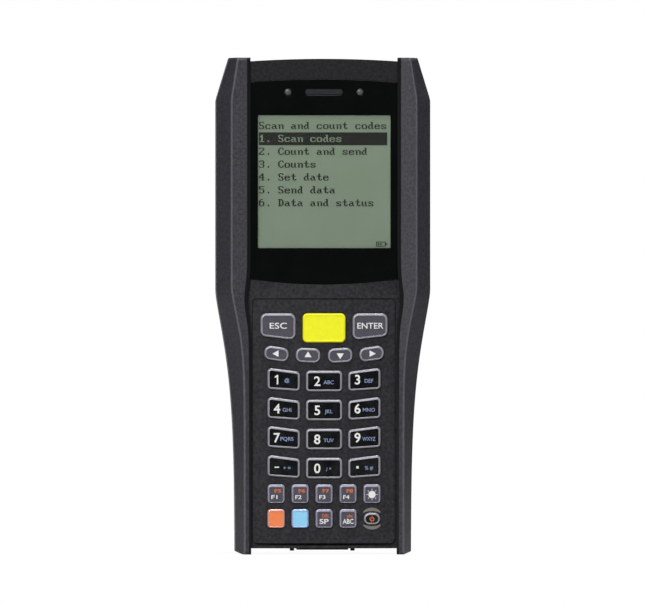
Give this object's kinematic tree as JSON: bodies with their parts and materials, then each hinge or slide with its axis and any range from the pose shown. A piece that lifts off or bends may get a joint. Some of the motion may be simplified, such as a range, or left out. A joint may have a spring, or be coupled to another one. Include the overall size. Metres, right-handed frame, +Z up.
{
  "type": "portable barcode data terminal",
  "caption": "Handheld data terminal with a square screen, a crowned keypad between two side rails, a scan window in its top end and a hinged battery cover in its back.",
  "frame": {"origin": "middle of the bounding box's base, under the feet of the side rails", "axes": "+Z up along the terminal's length, the screen and the keypad face -Y, +X is the right of the keypad"},
  "size_m": [0.0732, 0.036, 0.17],
  "materials": {
    "housing_plastic": "fine moulded texture, charcoal",
    "rail_plastic": "satin, charcoal",
    "lens": "polished, black printed back with a clear screen window",
    "screen": "grey-green liquid crystal",
    "white_plastic": "diffusing frame",
    "black_plastic": "matt",
    "grille": "woven acoustic mesh",
    "lamp": "clear light pipe",
    "silicone": "silicone keypad",
    "board": "solder mask green",
    "battery": "shrink sleeve",
    "gold": "gold plated",
    "seal": "moulded seal",
    "steel": "zinc plated",
    "chassis": "die cast",
    "brass": "turned",
    "mirror": "silvered",
    "window": "red acrylic",
    "key_dark": "black glossy key top with a silver rim",
    "key_grey": "purple-grey key top with a silver rim",
    "key_yellow": "yellow key",
    "key_orange": "orange key",
    "key_blue": "pale blue key"
  },
  "bodies": {
    "case": {"front_housing": "housing_plastic", "rear_housing": "housing_plastic", "left_rail": "rail_plastic", "right_rail": "rail_plastic", "top_cap": "rail_plastic", "scan_window": "window", "display_lens": "lens", "lcd_panel": "screen", "lcd_frame": "white_plastic", "speaker_grille": "grille", "speaker": "black_plastic", "status_lamp": "lamp", "charge_lamp": "lamp", "keypad_mat": "silicone", "key_board": "board", "main_board": "board", "battery_pack": "battery", "battery_contacts": "gold", "dock_connector": "black_plastic", "dock_contacts": "gold", "case_seal": "seal", "case_screws": "steel", "scan_chassis": "chassis", "laser_module": "brass", "vibration_motor": "steel"},
    "cover": {"battery_cover": "housing_plastic"},
    "lock": {"battery_lock": "black_plastic"},
    "mirror": {"scan_mirror": "mirror"},
    "weight": {"eccentric_weight": "steel"},
    "key_escape": {"key_escape": "key_grey"},
    "key_scan": {"key_scan": "key_yellow"},
    "key_enter": {"key_enter": "key_grey"},
    "key_left": {"key_left": "key_grey"},
    "key_up": {"key_up": "key_grey"},
    "key_down": {"key_down": "key_grey"},
    "key_right": {"key_right": "key_grey"},
    "key_1": {"key_1": "key_dark"},
    "key_2": {"key_2": "key_dark"},
    "key_3": {"key_3": "key_dark"},
    "key_4": {"key_4": "key_dark"},
    "key_5": {"key_5": "key_dark"},
    "key_6": {"key_6": "key_dark"},
    "key_7": {"key_7": "key_dark"},
    "key_8": {"key_8": "key_dark"},
    "key_9": {"key_9": "key_dark"},
    "key_minus": {"key_minus": "key_dark"},
    "key_0": {"key_0": "key_dark"},
    "key_point": {"key_point": "key_dark"},
    "key_f1": {"key_f1": "key_grey"},
    "key_f2": {"key_f2": "key_grey"},
    "key_f3": {"key_f3": "key_grey"},
    "key_f4": {"key_f4": "key_grey"},
    "key_light": {"key_light": "key_grey"},
    "key_orange": {"key_orange": "key_orange"},
    "key_blue": {"key_blue": "key_blue"},
    "key_space": {"key_space": "key_grey"},
    "key_alpha": {"key_alpha": "key_grey"},
    "key_power": {"key_power": "key_grey"}
  },
  "joints": [
    {"name": "cover_hinge", "type": "hinge", "parent": "case", "child": "cover", "pos_m": [0, 0.0078, 0.0791], "axis": [1, 0, 0], "range_deg": [0, 80]},
    {"name": "lock_slide", "type": "slide", "parent": "case", "child": "lock", "axis": [0, 0, 1], "range_m": [0, 0.0024]},
    {"name": "mirror_swing", "type": "hinge", "parent": "case", "child": "mirror", "pos_m": [0, 0.0066, 0.1474], "axis": [0, 1, 0], "range_deg": [-13, 13], "stiffness_Nm_per_rad": 0.0005},
    {"name": "motor_spin", "type": "hinge", "parent": "case", "child": "weight", "pos_m": [0, -0.0046, 0.0917], "axis": [1, 0, 0], "continuous": true},
    {"name": "key_escape_press", "type": "slide", "parent": "case", "child": "key_escape", "axis": [0, 1, 0], "range_m": [0, 0.0006], "stiffness_N_per_m": 1200},
    {"name": "key_scan_press", "type": "slide", "parent": "case", "child": "key_scan", "axis": [0, 1, 0], "range_m": [0, 0.0006], "stiffness_N_per_m": 1500},
    {"name": "key_enter_press", "type": "slide", "parent": "case", "child": "key_enter", "axis": [0, 1, 0], "range_m": [0, 0.0006], "stiffness_N_per_m": 1200},
    {"name": "key_left_press", "type": "slide", "parent": "case", "child": "key_left", "axis": [0, 1, 0], "range_m": [0, 0.0006], "stiffness_N_per_m": 1200},
    {"name": "key_up_press", "type": "slide", "parent": "case", "child": "key_up", "axis": [0, 1, 0], "range_m": [0, 0.0006], "stiffness_N_per_m": 1200},
    {"name": "key_down_press", "type": "slide", "parent": "case", "child": "key_down", "axis": [0, 1, 0], "range_m": [0, 0.0006], "stiffness_N_per_m": 1200},
    {"name": "key_right_press", "type": "slide", "parent": "case", "child": "key_right", "axis": [0, 1, 0], "range_m": [0, 0.0006], "stiffness_N_per_m": 1200},
    {"name": "key_1_press", "type": "slide", "parent": "case", "child": "key_1", "axis": [0, 1, 0], "range_m": [0, 0.0006], "stiffness_N_per_m": 1200},
    {"name": "key_2_press", "type": "slide", "parent": "case", "child": "key_2", "axis": [0, 1, 0], "range_m": [0, 0.0006], "stiffness_N_per_m": 1200},
    {"name": "key_3_press", "type": "slide", "parent": "case", "child": "key_3", "axis": [0, 1, 0], "range_m": [0, 0.0006], "stiffness_N_per_m": 1200},
    {"name": "key_4_press", "type": "slide", "parent": "case", "child": "key_4", "axis": [0, 1, 0], "range_m": [0, 0.0006], "stiffness_N_per_m": 1200},
    {"name": "key_5_press", "type": "slide", "parent": "case", "child": "key_5", "axis": [0, 1, 0], "range_m": [0, 0.0006], "stiffness_N_per_m": 1200},
    {"name": "key_6_press", "type": "slide", "parent": "case", "child": "key_6", "axis": [0, 1, 0], "range_m": [0, 0.0006], "stiffness_N_per_m": 1200},
    {"name": "key_7_press", "type": "slide", "parent": "case", "child": "key_7", "axis": [0, 1, 0], "range_m": [0, 0.0006], "stiffness_N_per_m": 1200},
    {"name": "key_8_press", "type": "slide", "parent": "case", "child": "key_8", "axis": [0, 1, 0], "range_m": [0, 0.0006], "stiffness_N_per_m": 1200},
    {"name": "key_9_press", "type": "slide", "parent": "case", "child": "key_9", "axis": [0, 1, 0], "range_m": [0, 0.0006], "stiffness_N_per_m": 1200},
    {"name": "key_minus_press", "type": "slide", "parent": "case", "child": "key_minus", "axis": [0, 1, 0], "range_m": [0, 0.0006], "stiffness_N_per_m": 1200},
    {"name": "key_0_press", "type": "slide", "parent": "case", "child": "key_0", "axis": [0, 1, 0], "range_m": [0, 0.0006], "stiffness_N_per_m": 1200},
    {"name": "key_point_press", "type": "slide", "parent": "case", "child": "key_point", "axis": [0, 1, 0], "range_m": [0, 0.0006], "stiffness_N_per_m": 1200},
    {"name": "key_f1_press", "type": "slide", "parent": "case", "child": "key_f1", "axis": [0, 1, 0], "range_m": [0, 0.0006], "stiffness_N_per_m": 1200},
    {"name": "key_f2_press", "type": "slide", "parent": "case", "child": "key_f2", "axis": [0, 1, 0], "range_m": [0, 0.0006], "stiffness_N_per_m": 1200},
    {"name": "key_f3_press", "type": "slide", "parent": "case", "child": "key_f3", "axis": [0, 1, 0], "range_m": [0, 0.0006], "stiffness_N_per_m": 1200},
    {"name": "key_f4_press", "type": "slide", "parent": "case", "child": "key_f4", "axis": [0, 1, 0], "range_m": [0, 0.0006], "stiffness_N_per_m": 1200},
    {"name": "key_light_press", "type": "slide", "parent": "case", "child": "key_light", "axis": [0, 1, 0], "range_m": [0, 0.0006], "stiffness_N_per_m": 1200},
    {"name": "key_orange_press", "type": "slide", "parent": "case", "child": "key_orange", "axis": [0, 1, 0], "range_m": [0, 0.0006], "stiffness_N_per_m": 1200},
    {"name": "key_blue_press", "type": "slide", "parent": "case", "child": "key_blue", "axis": [0, 1, 0], "range_m": [0, 0.0006], "stiffness_N_per_m": 1200},
    {"name": "key_space_press", "type": "slide", "parent": "case", "child": "key_space", "axis": [0, 1, 0], "range_m": [0, 0.0006], "stiffness_N_per_m": 1200},
    {"name": "key_alpha_press", "type": "slide", "parent": "case", "child": "key_alpha", "axis": [0, 1, 0], "range_m": [0, 0.0006], "stiffness_N_per_m": 1200},
    {"name": "key_power_press", "type": "slide", "parent": "case", "child": "key_power", "axis": [0, 1, 0], "range_m": [0, 0.0006], "stiffness_N_per_m": 1200}
  ]
}
